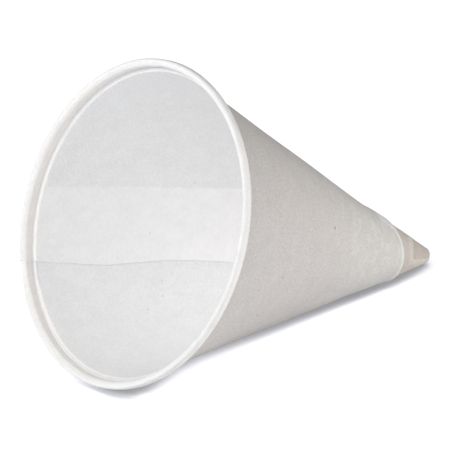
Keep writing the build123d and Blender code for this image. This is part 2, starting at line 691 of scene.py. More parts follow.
@dataclass(frozen=True)
class Pattern:
    """A cloud pattern that tones the paper and raises it.

    Attributes:
        scale: Clouds in a metre.
        detail: Octaves.
        soft: Roughness of the octaves.
        stretch: Scale along the three axes of its place.
        tone: How much it lightens and darkens the paper.
        tone_outside: How much more it does so on the outer face.
        relief: How much it raises the surface.
    """

    scale: float
    detail: float
    soft: float = 0.6
    stretch: Triple = (1.0, 1.0, 1.0)
    tone: float = 0.0
    tone_outside: float = 0.0
    relief: float = 0.0

    def draw(self, graph: Graph, place: Socket) -> Reading:
        """Reads the pattern.

        Args:
            graph: Graph of the material.
            place: Socket of the place to read it at, in metres.

        Returns:
            A number about 0.5.
        """
        inputs = {"Vector": place, "Scale": self.stretch}
        inputs = {"Vector": graph.node("ShaderNodeMapping", {}, inputs).outputs[0]}
        inputs |= {"Scale": self.scale, "Detail": self.detail, "Roughness": self.soft}
        return graph.read("ShaderNodeTexNoise", {"noise_dimensions": "3D"}, inputs)


@dataclass(frozen=True)
class PaperFinish:
    """Uncoated white paper, grained, flecked, and stained where it is wound tight.

    Attributes:
        plain: Colour of the single thickness.
        double: Colour of the double strip seen from inside.
        rolled: Colour of the rolled rim, darker than the plain sheet: painted shade that tones down
            the light on the roll.
        cove: Colour of the roll's sides inside the mouth, lighter than the roll: painted light on
            sides that lie in the roll's shade.
        ledge: Dark colour on the ledge behind it: painted shade, where the roll shades the ledge.
        outside: Colour of the outer face.
        painted_mouth_shade: How much darker the outer face is near the mouth: painted shade.
        hem: Lighter colour of the flare and the wall above it: painted light, for the light that
            grows towards the tip.
        blotch: Colour of the pale blotches there and lower down.
        tip: Colour of the tip's plies.
        tip_under: Colour of the ply that shows inside the last ply's edge.
        tip_edge_highlight: Colour of the painted highlight along that edge, where the ply's raised
            edge catches the light.
        edge: Colour of the hem's cut edge, and of the painted highlight along the outer wrap's
            edges and the flare's edge.
        fleck: Colour of the specks.
        roughness: Mean roughness.
        painted_mouth_shade_over: Heights at which that darkness is full, and gone.
        flecks: Places of the larger specks, in millimetres in the cup's frame, and how dark
            each is.
        fleck_radius: Radius of those specks.
        speck_cells: Cells in a metre, of which a few hold one of the fine specks.
        speck_radius: Radius of a fine speck, as a share of its cell.
        speck_rarity: Share of the cells that hold none.
        speck_depth: How dark a fine speck is.
        cloud: Broad pattern.
        fibre: Pattern drawn out along the sheet.
        grain: Fine pattern.
        calmer: How much less the grain tones the double strip.
        blotches: Pattern of the blotches.
        blotch_band: Values of that pattern at which a blotch starts, and is full.
        blotch_shares: How strong the blotches are anywhere outside, and more so on the flare.
        hem_share: How much of that painted light the flare takes.
        raised: Full height of the relief.
        relief: Strength of the relief.
        rough_swing: How much the grain changes the roughness.
        tip_gloss: How much less rough the tip is.
        shine: Level of the mirror-like part of its light.
    """

    plain: Colour = (0.82, 0.817, 0.815)
    double: Colour = (0.915, 0.90, 0.905)
    # Painted shade: the roll is darker than the plain sheet to tone down the light on it.
    rolled: Colour = (0.775, 0.77, 0.765)
    # Painted light: lifts the shade in the trough between the lip and the ledge.
    cove: Colour = (0.945, 0.915, 0.875)
    # Painted shade: darkens the ledge where the roll shades it.
    ledge: Colour = (0.63, 0.63, 0.65)
    outside: Colour = (0.76, 0.715, 0.68)
    # Painted shade: the outer face gets darker towards the mouth.
    painted_mouth_shade: float = 0.09
    # Painted light: the flare and the wall above it are lighter towards the tip.
    hem: Colour = (0.825, 0.795, 0.75)
    blotch: Colour = (0.88, 0.868, 0.83)
    tip: Colour = (0.75, 0.68, 0.615)
    tip_under: Colour = (0.69, 0.61, 0.54)
    # Painted highlight along the raised edge of the tip's last ply.
    tip_edge_highlight: Colour = (0.845, 0.77, 0.695)
    # The cut edge's own colour, also used for a painted highlight along the flare's edges.
    edge: Colour = (0.98, 0.965, 0.925)
    fleck: Colour = (0.30, 0.27, 0.25)
    roughness: float = 0.86
    painted_mouth_shade_over: Pair = (6.0, 55.0)
    flecks: tuple[tuple[float, float, float, float], ...] = (
        (-2.8, -19.6, 42.7, 1.0),
        (17.9, -19.7, 21.1, 0.8),
        (9.5, -24.6, 23.5, 0.45),
        (-12.2, 18.0, 34.2, 0.18),
        (10.3, 22.3, 30.0, 0.25),
        (13.7, 20.7, 29.2, 0.25),
        (17.2, 20.2, 24.6, 0.25),
        (-0.3, 25.0, 27.9, 0.18),
    )
    fleck_radius: float = 0.35
    speck_cells: float = 260.0
    speck_radius: float = 0.035
    speck_rarity: float = 0.965
    speck_depth: float = 0.35
    cloud: Pattern = Pattern(260.0, 4.0, tone=0.13, tone_outside=0.03, relief=0.8)
    fibre: Pattern = Pattern(
        1500.0, 3.0, stretch=(1.0, 0.4, 1.0), tone=0.12, tone_outside=0.05, relief=0.4
    )
    grain: Pattern = Pattern(2100.0, 2.0, soft=0.8, tone=0.33, tone_outside=0.31, relief=0.3)
    calmer: float = 0.26
    blotches: Pattern = Pattern(400.0, 3.0, stretch=(1.0, 1.0, 1.6))
    blotch_band: Pair = (0.46, 0.7)
    blotch_shares: Pair = (0.14, 0.6)
    hem_share: float = 0.85
    raised: float = 0.12
    relief: float = 0.32
    rough_swing: float = 0.12
    tip_gloss: float = 0.1
    shine: float = 0.25

    @staticmethod
    def mask(graph: Graph, name: str) -> Reading:
        """Reads one of the sheet's own masks by name."""
        return graph.read("ShaderNodeAttribute", {"attribute_name": name}, {}, "Fac")

    def material(self, name: str) -> bpy.types.Material:
        """Builds the material.

        Args:
            name: Name of the material.

        Returns:
            The material.
        """
        material = bpy.data.materials.new(name)
        material.use_nodes = True
        graph = Graph(material.node_tree)
        place = graph.node("ShaderNodeTexCoord", {}, {}).outputs["Object"]
        sheet = {"attribute_name": "flat_sheet"}
        flat = graph.node("ShaderNodeAttribute", sheet, {}).outputs["Vector"]
        names = ("outer_face", "hem_cockle_and_light", "tip_zone", "double_strip")
        outer, hem, tip, strip = (self.mask(graph, mask) for mask in names)
        patterns = (self.cloud, self.fibre, self.grain)
        drawn = [(pattern, pattern.draw(graph, flat)) for pattern in patterns]
        grain = drawn[-1][1] - 0.5
        blotch = graph.ease(self.blotches.draw(graph, place), *self.blotch_band)

        height = graph.read("ShaderNodeSeparateXYZ", {}, {0: place}, "Z")
        # Painted shade on the outer face towards the mouth, then the grain's tone.
        above = graph.ease(height, *(level * MM for level in self.painted_mouth_shade_over))
        shade = 1.0 - (1.0 - above) * outer * self.painted_mouth_shade - grain * strip * self.calmer
        relief = blotch * hem * outer
        for pattern, number in drawn:
            shade = shade + (number - 0.5) * (outer * pattern.tone_outside + pattern.tone)
            relief = relief + number * pattern.relief

        toned = graph.node(
            "ShaderNodeVectorMath",
            {"operation": "SCALE"},
            {0: self.layers(graph, outer, hem, blotch), "Scale": shade},
        ).outputs[0]
        raised = {"Strength": self.relief, "Distance": self.raised * MM, "Height": relief}
        surface = graph.node(
            "ShaderNodeBsdfPrincipled",
            {},
            {
                "Base Color": graph.blend(self.fleck_mask(graph, place), toned, self.fleck),
                "Roughness": self.roughness + grain * self.rough_swing - tip * self.tip_gloss,
                "Normal": graph.node("ShaderNodeBump", {}, raised).outputs[0],
                "Specular IOR Level": self.shine,
            },
        )
        graph.node("ShaderNodeOutputMaterial", {}, {"Surface": surface.outputs[0]})
        return material

    def layers(self, graph: Graph, outer: Reading, hem: Reading, blotch: Reading) -> Socket:
        """Lays the colours of the sheet's parts over each other.

        Args:
            graph: Graph of the material.
            outer: Mask of the outer face.
            hem: Mask of the cockled paper, which also carries painted light.
            blotch: Mask of the blotches.

        Returns:
            The socket of the colour.
        """
        anywhere, on_flare = self.blotch_shares
        colour: Any = self.plain
        for share, above in (
            (self.mask(graph, "double_strip"), self.double),
            (self.mask(graph, "rolled_edge"), self.rolled),
            (self.mask(graph, "roll_side_painted_light"), self.cove),
            (self.mask(graph, "ledge"), self.ledge),
            (outer, self.outside),
            # Painted light on the flare and the wall above it.
            (outer * hem * self.hem_share, self.hem),
            (blotch * outer * (hem * on_flare + anywhere), self.blotch),
        ):
            colour = graph.blend(share, colour, above)
        under = graph.blend(self.mask(graph, "tip_under"), self.tip, self.tip_under)
        # Painted highlight along the last ply's edges.
        under = graph.blend(self.mask(graph, "tip_edge_highlight"), under, self.tip_edge_highlight)
        colour = graph.blend(self.mask(graph, "tip_zone"), colour, under)
        # The hem's cut edge, and a painted highlight along the outer wrap's edges.
        return graph.blend(self.mask(graph, "cut_edge_and_highlight"), colour, self.edge)

    def fleck_mask(self, graph: Graph, place: Socket) -> Reading:
        """Marks the specks in the paper.

        Args:
            graph: Graph of the material.
            place: Socket of the place, in metres.

        Returns:
            How dark the speck is there, else 0.
        """
        spread = {"Vector": place, "Scale": self.speck_cells}
        cells = graph.node("ShaderNodeTexVoronoi", {"feature": "F1"}, spread)
        pick = graph.read("ShaderNodeSeparateColor", {}, {0: cells.outputs["Color"]}, 0)
        mask = Reading(graph, cells.outputs["Distance"]) < self.speck_radius
        mask = mask * (pick > self.speck_rarity) * self.speck_depth
        size = self.fleck_radius * MM
        for *centre, depth in self.flecks:
            ends = {0: place, 1: tuple(value * MM for value in centre)}
            away = graph.read("ShaderNodeVectorMath", {"operation": "DISTANCE"}, ends, "Value")
            mask = mask.at_least((1.0 - graph.ease(away, 0.5 * size, size)) * depth)
        return mask


@dataclass(frozen=True)
class Spot:
    """A point of the wound sheet, before the cup is made uneven.

    Attributes:
        azimuth: Azimuth in degrees.
        radius: Distance from the axis.
        height: Height above the resting plane.
        slant: The sheet's own distance from the sharp apex.
    """

    azimuth: float
    radius: float
    height: float
    slant: float


@dataclass
class WoundCup:
    """The paper cup: the section of a sheet, spun into an open wrap and then wound shut.

    Attributes:
        cone: Sizes of the cone.
        seam: Sizes of the seam.
        rim: Sizes of the rim.
        hem: Sizes of the hem.
        tip: Sizes of the tip.
        finish: Finish of the paper.
        strip_columns: Columns across the double strip.
        round_columns: Columns round the rest.
        climb_columns: Columns up the climb.
        wall_rows: Rows down each face of the wall.
        flare_crowding: How much the flare's rows crowd towards its edge.
        open_turn: Turn of the wrap before it is wound shut, in degrees.
        off_axis: How far off the axis the section's ends are drawn, before it is wound.
        guess: Distance from the apex from which a slanted line is looked for.
        guesses: Steps in which it is found.
        faces_apart: How far apart the two faces lie in the paper's pattern.
        merge: Distance within which points are joined.
        sharp: Angle from which an edge is sharp, in degrees.
    """

    cone: ConeSizes = ConeSizes()
    seam: SeamSizes = SeamSizes()
    rim: RimSizes = RimSizes()
    hem: HemSizes = HemSizes()
    tip: TipSizes = TipSizes()
    finish: PaperFinish = PaperFinish()
    strip_columns: int = 34
    round_columns: int = 206
    climb_columns: int = 18
    wall_rows: int = 84
    flare_crowding: float = 1.7
    open_turn: float = 340.0
    off_axis: float = 0.05
    guess: float = 40.0
    guesses: int = 4
    faces_apart: float = 60.0
    merge: float = 0.002
    sharp: float = 38.0

    def __post_init__(self) -> None:
        """Lays out the section and the order of winding."""
        self.section = SectionLine(self.cone, self.rim)
        self.section.trace()
        self.stations = self.lay_stations()
        self.turns = self.lay_turns()

    def lay_stations(self) -> list[Station]:
        """Lists the places along the outline, from the inside of the tip to its outside.

        Returns:
            The stations in order.
        """
        counts = {
            Skin.CAVITY_END: 3,
            Skin.INSIDE: self.wall_rows,
            Skin.WALL: self.wall_rows,
            Skin.FLARE: 18,
            Skin.HEM_EDGE: 5,
            Skin.HEM_UNDER: 6,
            Skin.TIP: 44,
            Skin.TIP_END: 9,
        }
        rim = len(self.section.points)
        stations: list[Station] = []
        for skin in Skin:
            if skin is Skin.RIM_INSIDE:
                stations += [Station(skin, float(k)) for k in range(rim)]
            elif skin is Skin.FREE_EDGE:
                stations.append(Station(skin, float(rim - 1)))
            elif skin is Skin.RIM_OUTSIDE:
                stations += [Station(skin, float(rim - 1 - k)) for k in range(rim)]
            else:
                shares = [k / counts[skin] for k in range(counts[skin])]
                crowd = self.flare_crowding if skin is Skin.FLARE else 1.0
                stations += [Station(skin, 1.0 - (1.0 - share) ** crowd) for share in shares]
        stations.append(Station(Skin.TIP_END, 1.0))
        return stations

    def lay_turns(self) -> list[Turn]:
        """Lists the places round the cup, from the start edge once round and back to it.

        Returns:
            The turns in order. Each edge of the sheet has two at the same place.
        """
        strip, around, climb = self.strip_columns, self.round_columns, self.climb_columns
        turns = [Turn(strip=k / strip, outer_plies=1.0) for k in range(strip + 1)]
        turns += [Turn(round=k / around) for k in range(around)]
        for k in range(climb + 1):
            rise = smooth(k / climb)
            turns.append(Turn(climb=k / climb, outer_plies=rise, inner_plies=rise))
        turns.append(Turn(strip=0.0, outer_plies=1.0))
        return turns

    def azimuth(self, turn: Turn, slant: float) -> float:
        """Azimuth of a place round the cup, at a distance from the apex.

        Args:
            turn: Place round the cup.
            slant: Distance from the sharp apex.

        Returns:
            Azimuth in degrees.
        """
        sine = sin(self.cone.half_angle)
        start = self.seam.middle - degrees(asin(self.seam.lap / self.cone.slant)) / sine / 2
        reach = max(slant, self.seam.widest_at)
        width = degrees(asin(self.seam.lap / reach)) / sine + line_through(self.seam.drift, slant)
        waver = self.seam.start_waver(slant)
        if turn.strip is not None:
            return start + waver * (1.0 - turn.strip) + width * turn.strip
        if turn.round is not None:
            return start + width + (360.0 - self.seam.climb - width) * turn.round
        return start + 360.0 - self.seam.climb * (1.0 - turn.climb) + waver * turn.climb

    def hem_edge(self, azimuth: float) -> float:
        """Distance from the apex to the hem's edge, where a slanted plane cuts the wall.

        Args:
            azimuth: Azimuth in degrees.

        Returns:
            The distance along the wall.
        """
        across = sin(self.cone.half_angle) * tan(radians(self.hem.tilt))
        turn = cos(radians(azimuth - self.hem.heading))
        return self.hem.drop / (cos(self.cone.half_angle) + across * turn)

    def hem_root(self, azimuth: float) -> float:
        """Distance from the apex to the place where the flare starts."""
        swing = self.hem.flare_swing * cos(radians(azimuth - self.hem.flare_heading))
        return self.hem_edge(azimuth) + max(self.hem.flare + swing, self.hem.flare_least)

    def lift(self, azimuth: float, share: float) -> float:
        """How far the flare stands off the line of the wall.

        Args:
            azimuth: Azimuth in degrees.
            share: Place along the flare, 0 at its root and 1 at the edge.

        Returns:
            The distance.
        """
        hem = self.hem
        toward = cos(radians(azimuth - hem.lift_heading))
        length = self.hem_root(azimuth) - self.hem_edge(azimuth)
        curl = hem.lip * smooth(1.0 - (1.0 - share) * length / hem.lip_length)
        abrupt = max(toward, 0.0) ** 4
        rise = abrupt * (1.0 - (1.0 - share) ** 2) + (1.0 - abrupt) * smooth(share)
        return (hem.lift + hem.lift_swing * toward) * rise + curl

    def past_ply(self, slant: float, azimuth: float) -> tuple[float, float]:
        """Places a point of the tip against the last ply's two edges.

        Args:
            slant: Distance from the apex.
            azimuth: Azimuth in degrees.

        Returns:
            Distance nearer the apex than the edge across the tip, and degrees from where the
            ply comes out.
        """
        tip = self.tip
        bow = tip.ply_bow * (1.0 - cos(radians(azimuth - tip.ply_heading)))
        edge = tip.ply_turn + tip.ply_slew * (tip.ply_edge - slant)
        return tip.ply_edge - bow - slant, (azimuth - (edge - tip.ply_span)) % 360.0

    def tip_ply(self, slant: float, azimuth: float) -> float:
        """Gives 1 under the last ply's edges on the tip, and 0 on that ply.

        Args:
            slant: Distance from the apex.
            azimuth: Azimuth in degrees.

        Returns:
            Value of the mask.
        """
        past, turned = self.past_ply(slant, azimuth)
        under = past > 0.0 and turned < self.tip.ply_span
        return smooth(turned / self.tip.ply_rise) if under else 0.0

    def tip_edge_highlight(self, slant: float, azimuth: float) -> float:
        """Gives 1 on the painted highlights along the last ply's edges, and 0 elsewhere.

        Args:
            slant: Distance from the apex.
            azimuth: Azimuth in degrees.

        Returns:
            Value of the mask.
        """
        tip = self.tip
        past, turned = self.past_ply(slant, azimuth)
        if past > 0.0:
            beside = (turned - tip.ply_span) / tip.side_lip
            return smooth(2.0 - 2.0 * beside) if 0.0 <= beside <= 1.0 else 0.0
        fade = smooth((tip.ply_span + tip.lip_past - turned) / tip.lip_fade)
        across = smooth(turned / tip.ply_rise) * fade
        return across * smooth(2.0 * (1.0 + past / tip.lip))

    def tip_off(self, slant: float, azimuth: float) -> float:
        """Distance of the tip's face off the line of the wall, kept clear under the hem.

        Args:
            slant: Distance from the apex.
            azimuth: Azimuth in degrees.

        Returns:
            The distance.
        """
        tip = self.tip
        full = tip.stand_off + tip.ply_step * (0.5 - self.tip_ply(slant, azimuth))
        edge, root = self.hem_edge(azimuth), self.hem_root(azimuth)
        if slant <= edge - tip.free_run:
            return full
        share = min(1.0, (root - slant) / (root - edge))
        lean = tip.shift(slant) * cos(radians(azimuth - tip.lean_heading))
        room = self.lift(azimuth, share) - self.cone.paper - tip.clearance - lean
        free = smooth((edge - slant) / tip.free_run)
        return full * free + min(full, room) * (1.0 - free)

    def inside_spot(self, station: Station, turn: Turn) -> Spot:
        """Finds a point on the inner face of the wall or the closed end of the cavity.

        Args:
            station: Place along the section.
            turn: Place round the cup.

        Returns:
            The spot.
        """
        cone = self.cone
        top = cone.slant_at(cone.cavity_height)
        low = cone.slant_at(self.section.points[0][0].y)
        end = station.skin is Skin.CAVITY_END
        slant = top if end else top + (low - top) * station.share
        radius, height = cone.wall(slant, (turn.inner_plies - 1.0) * cone.paper)
        if end:
            radius *= station.share
            height = cone.cavity_height + (height - cone.cavity_height) * station.share
        return Spot(self.azimuth(turn, slant), radius, height, slant)

    def rim_spot(self, station: Station, turn: Turn) -> Spot:
        """Finds a point on the ledge or the roll.

        Args:
            station: Place along the section.
            turn: Place round the cup.

        Returns:
            The spot.
        """
        index = int(station.share)
        point, outwards = self.section.points[index]
        sides = {
            Skin.RIM_INSIDE: turn.inner_plies - 0.5,
            Skin.RIM_OUTSIDE: turn.outer_plies + 0.5,
            Skin.FREE_EDGE: (turn.inner_plies + turn.outer_plies) / 2,
        }
        moved = point + outwards * sides[station.skin] * self.cone.paper
        slant = self.cone.slant_at(self.section.points[0][0].y) + self.section.step * index
        return Spot(self.azimuth(turn, slant), moved.x, moved.y, slant)

    def slant_outside(self, station: Station, azimuth: float) -> float:
        """Distance from the apex of a station on the outer face.

        Args:
            station: Place along the section.
            azimuth: Azimuth in degrees.

        Returns:
            The distance along the wall.
        """
        hem, share = self.hem, station.share
        root, edge = self.hem_root(azimuth), self.hem_edge(azimuth)
        under = edge + (root - edge) * hem.hollow
        if station.skin is Skin.WALL:
            low = self.cone.slant_at(self.section.points[0][0].y)
            return low + (root - low) * share
        if station.skin is Skin.FLARE:
            return root + (edge - root) * share
        if station.skin is Skin.HEM_EDGE:
            return edge - hem.edge_bulge * self.cone.paper * sin(pi * share)
        if station.skin is Skin.HEM_UNDER:
            return edge + (under - edge) * share
        return under + (self.tip_reach - under) * (share if station.skin is Skin.TIP else 1.0)

    def outside_spot(self, station: Station, turn: Turn) -> Spot:
        """Finds a point on the outer wall, the hem or the tip.

        Args:
            station: Place along the section.
            turn: Place round the cup.

        Returns:
            The spot.
        """
        paper, share = self.cone.paper, station.share
        slant = self.guess
        for _ in range(self.guesses):
            azimuth = self.azimuth(turn, slant)
            slant = self.slant_outside(station, azimuth)
        if station.skin is Skin.TIP_END:
            return self.end_spot(share, azimuth)
        off = {
            Skin.WALL: turn.outer_plies * paper,
            Skin.FLARE: max(turn.outer_plies * paper, self.lift(azimuth, share)),
            Skin.HEM_EDGE: self.lift(azimuth, 1.0) - paper * share,
            Skin.HEM_UNDER: self.lift(azimuth, 1.0 - self.hem.hollow * share) - paper,
            Skin.TIP: self.tip_off(slant, azimuth),
        }[station.skin]
        radius, height = self.cone.wall(slant, off)
        return Spot(azimuth, radius, height, slant)

    @property
    def tip_reach(self) -> float:
        """Distance from the apex at which the tip's face meets its rounded end."""
        return self.tip.radius / tan(self.cone.half_angle) - self.tip.stand_off * 0.5

    def end_spot(self, share: float, azimuth: float) -> Spot:
        """Finds a point on the rounded end.

        Args:
            share: Place from its border at 0 to the axis at 1.
            azimuth: Azimuth in degrees.

        Returns:
            The spot.
        """
        reach, angle = self.tip_reach, self.cone.half_angle
        step = self.tip.ply_step * (0.5 - self.tip_ply(reach, azimuth)) * (1.0 - share)
        radius, height = self.cone.wall(reach, self.tip.stand_off)
        ball = radius / cos(angle)
        rise = angle + (pi / 2 - angle) * share
        top = height - ball * sin(angle) + (ball * self.tip.bluntness + step) * sin(rise)
        top += ball * (1.0 - self.tip.bluntness) * sin(angle)
        return Spot(azimuth, (ball + step) * cos(rise), top, reach * (1.0 - share))

    def spot(self, station: Station, turn: Turn) -> Spot:
        """Finds where a point of the wrap lies on the wound cup.

        Args:
            station: Place along the section.
            turn: Place round the cup.

        Returns:
            The spot.
        """
        if station.skin in (Skin.CAVITY_END, Skin.INSIDE):
            return self.inside_spot(station, turn)
        if station.skin in (Skin.RIM_INSIDE, Skin.FREE_EDGE, Skin.RIM_OUTSIDE):
            return self.rim_spot(station, turn)
        return self.outside_spot(station, turn)

    def settle(self, station: Station, spot: Spot) -> Vector:
        """Makes a point uneven, as a real cup is: out of round, wavy, and leaning at the tip.

        Args:
            station: Place along the section.
            spot: The point.

        Returns:
            The point's place, in metres.
        """
        turned = radians(spot.azimuth)
        away = Vector((cos(turned), sin(turned), 0.0))
        point = away * spot.radius + Vector((0.0, 0.0, spot.height))
        if station.skin in (Skin.TIP, Skin.TIP_END):
            heading = radians(self.tip.lean_heading)
            aside = Vector((cos(heading), sin(heading), 0.0)) * self.tip.shift(spot.slant)
            return (point + aside) * MM
        round_off = self.cone.out_of_round(spot.azimuth, spot.slant)
        wave = self.cone.wave(turned, spot.slant, spot.radius)
        return (point + away * (spot.radius * round_off + wave)) * MM

    def masks(self, station: Station, turn: Turn, spot: Spot) -> dict[str, float]:
        """Gives the paper's masks at a point.

        Args:
            station: Place along the section.
            turn: Place round the cup.
            spot: The point.

        Returns:
            Value of each mask by name.
        """
        skin = station.skin
        inside = skin in (Skin.CAVITY_END, Skin.INSIDE, Skin.RIM_INSIDE, Skin.FREE_EDGE)
        rim = skin in (Skin.RIM_INSIDE, Skin.FREE_EDGE, Skin.RIM_OUTSIDE)
        rolled = rim and spot.height < self.rim.shoulder + 0.2 * self.cone.paper
        tip = skin in (Skin.TIP, Skin.TIP_END)
        edge, root = self.hem_edge(spot.azimuth), self.hem_root(spot.azimuth)
        highlight_share = self.painted_edge_highlight(spot) if skin is Skin.FLARE else 0.0
        cockled = (root + self.hem.cockle - spot.slant) / (root + self.hem.cockle_run - edge)
        on_strip = inside and turn.strip is not None and turn.strip < 1.0
        up_side = (spot.height - self.rim.side_from) / self.rim.side_run
        return {
            "double_strip": self.seam.showing(spot.slant) if on_strip else 0.0,
            "outer_face": 0.0 if inside or rolled else 1.0,
            # Painted shade over the whole roll.
            "rolled_edge": 1.0 if rolled else 0.0,
            # Painted light on the roll's inner sides.
            "roll_side_painted_light": smooth(up_side) if rolled and inside else 0.0,
            # Painted shade on the ledge behind the roll.
            "ledge": self.ledge_painted_shade(spot) if skin is Skin.RIM_INSIDE else 0.0,
            # Cockled paper for the relief, and painted light for the colour.
            "hem_cockle_and_light": 0.0 if inside or tip else smooth(cockled),
            "tip_zone": 1.0 if tip else 0.0,
            "tip_under": self.tip_ply(spot.slant, spot.azimuth) if tip else 0.0,
            # Painted highlight along the tip's ply edges.
            "tip_edge_highlight": self.tip_edge_highlight(spot.slant, spot.azimuth) if tip else 0.0,
            # The hem's cut edge, and the painted highlight beside it on the flare.
            "cut_edge_and_highlight": 1.0 if skin is Skin.HEM_EDGE else highlight_share,
        }

    def ledge_painted_shade(self, spot: Spot) -> float:
        """Gives 1 where shade is painted on the ledge behind the roll, less over the seam, and 0
        elsewhere.

        Args:
            spot: The point.

        Returns:
            Value of the mask of the painted shade on the ledge.
        """
        rim = self.rim
        level = abs(spot.height - rim.shoulder + 0.5 * rim.shoulder_drop)
        foot = self.cone.wall(self.cone.slant_at(rim.shoulder), -0.5 * self.cone.paper)[0]
        beyond = smooth((spot.radius - foot + rim.ledge_from) / rim.ledge_run)
        over_seam = max(cos(radians(spot.azimuth - self.seam.middle)), 0.0) ** 2
        return smooth(2.0 - level / rim.ledge_level) * beyond * (1.0 - rim.ledge_lap * over_seam)

    def painted_edge_highlight(self, spot: Spot) -> float:
        """Gives 1 on the painted highlight along the outer wrap's edges and the hem's edge, and 0
        elsewhere.

        Args:
            spot: The point.

        Returns:
            Value of the painted highlight, which the cut edge's mask carries.
        """
        hem = self.hem
        first, last = hem.end_edge[0][0], hem.end_edge[-1][0]
        off = radians(spot.azimuth % 360.0 - line_through(hem.end_edge, spot.slant)) * spot.radius
        beside = 0.5 * abs(off) if first < spot.slant < last else hem.line
        near = min(spot.slant - self.hem_edge(spot.azimuth), beside)
        return smooth(2.0 - 2.0 * near / hem.line) * smooth((last - spot.slant) / hem.line_fade)

    def flat_place(self, station: Station, spot: Spot) -> list[float]:
        """Gives a point's place on the sheet before it was wound.

        Args:
            station: Place along the section.
            spot: The point.

        Returns:
            Place on the flat sheet and the face of it, in metres.
        """
        turned = radians(spot.azimuth) * sin(self.cone.half_angle)
        inner = station.skin in (Skin.CAVITY_END, Skin.INSIDE, Skin.RIM_INSIDE)
        face = 0.0 if inner else self.faces_apart
        return [spot.slant * cos(turned) * MM, spot.slant * sin(turned) * MM, face * MM]

    def draw_section(self) -> bpy.types.Object:
        """Draws the outline of the sheet's section beside the axis, as one chain of edges.

        Returns:
            The object that holds it, with each point's number in an attribute.
        """
        spots = [self.spot(station, self.turns[0]) for station in self.stations]
        points = [(max(spot.radius, self.off_axis), 0.0, spot.height) for spot in spots]
        chain = [Vector(point) * MM for point in points]
        bpy.ops.object.select_all(action="DESELECT")
        bpy.ops.mesh.primitive_plane_add(size=0.1 * MM, location=(0.0, 0.0, 0.0))
        cup = bpy.context.active_object
        cup.name = cup.data.name = "paper_cup"
        cup.data.transform(Matrix.Translation(chain[0]))
        with editing():
            bpy.ops.mesh.merge(type="CENTER")
            for before, after in zip(chain, chain[1:]):
                bpy.ops.mesh.extrude_region_move(TRANSFORM_OT_translate={"value": after - before})
        number = cup.data.attributes.new("station", "INT", "POINT")
        for index, vertex in enumerate(cup.data.vertices):
            number.data[index].value = min(
                range(len(chain)), key=lambda k: (chain[k] - vertex.co).length_squared
            )
        return cup

    def build(self) -> bpy.types.Object:
        """Spins the section into an open wrap, winds it shut and smooths it.

        Returns:
            The cup's object, with its place in its mesh.
        """
        cup = self.draw_section()
        with editing():
            bpy.ops.mesh.spin(
                steps=len(self.turns) - 1,
                angle=radians(self.open_turn),
                center=(0.0, 0.0, 0.0),
                axis=(0.0, 0.0, -1.0),
            )
        self.wind_shut(cup.data)
        with editing():
            bpy.ops.mesh.remove_doubles(threshold=self.merge * MM)
            bpy.ops.mesh.normals_make_consistent(inside=False)
        bpy.ops.object.shade_smooth_by_angle(angle=radians(self.sharp))
        return cup

    def wind_shut(self, mesh: bpy.types.Mesh) -> None:
        """Moves every point of the open wrap to its place on the wound cup.

        Args:
            mesh: The open wrap, with the number of each point's station in an attribute.
        """
        numbers = [item.value for item in mesh.attributes["station"].data]
        layers: dict[str, list[float]] = {}
        flat: list[float] = []
        for vertex, number in zip(mesh.vertices, numbers):
            swept = degrees(atan2(vertex.co.y, vertex.co.x)) % 360.0
            swept = swept if swept < (self.open_turn + 360.0) / 2 else 0.0
            station = self.stations[number]
            turn = self.turns[round(swept / self.open_turn * (len(self.turns) - 1))]
            spot = self.spot(station, turn)
            vertex.co = self.settle(station, spot)
            for name, value in self.masks(station, turn, spot).items():
                layers.setdefault(name, []).append(value)
            flat += self.flat_place(station, spot)
        for name, values in layers.items():
            mesh.attributes.new(name, "FLOAT", "POINT").data.foreach_set("value", values)
        mesh.attributes.new("flat_sheet", "FLOAT_VECTOR", "POINT").data.foreach_set("vector", flat)
        mesh.attributes.remove(mesh.attributes["station"])

    def dress(self, cup: bpy.types.Object) -> None:
        """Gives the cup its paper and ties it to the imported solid.

        Args:
            cup: The cup.
        """
        cup.data.materials.clear()
        cup.data.materials.append(self.finish.material("white_paper"))
        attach(cup, "root")
        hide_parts("cone_cup")


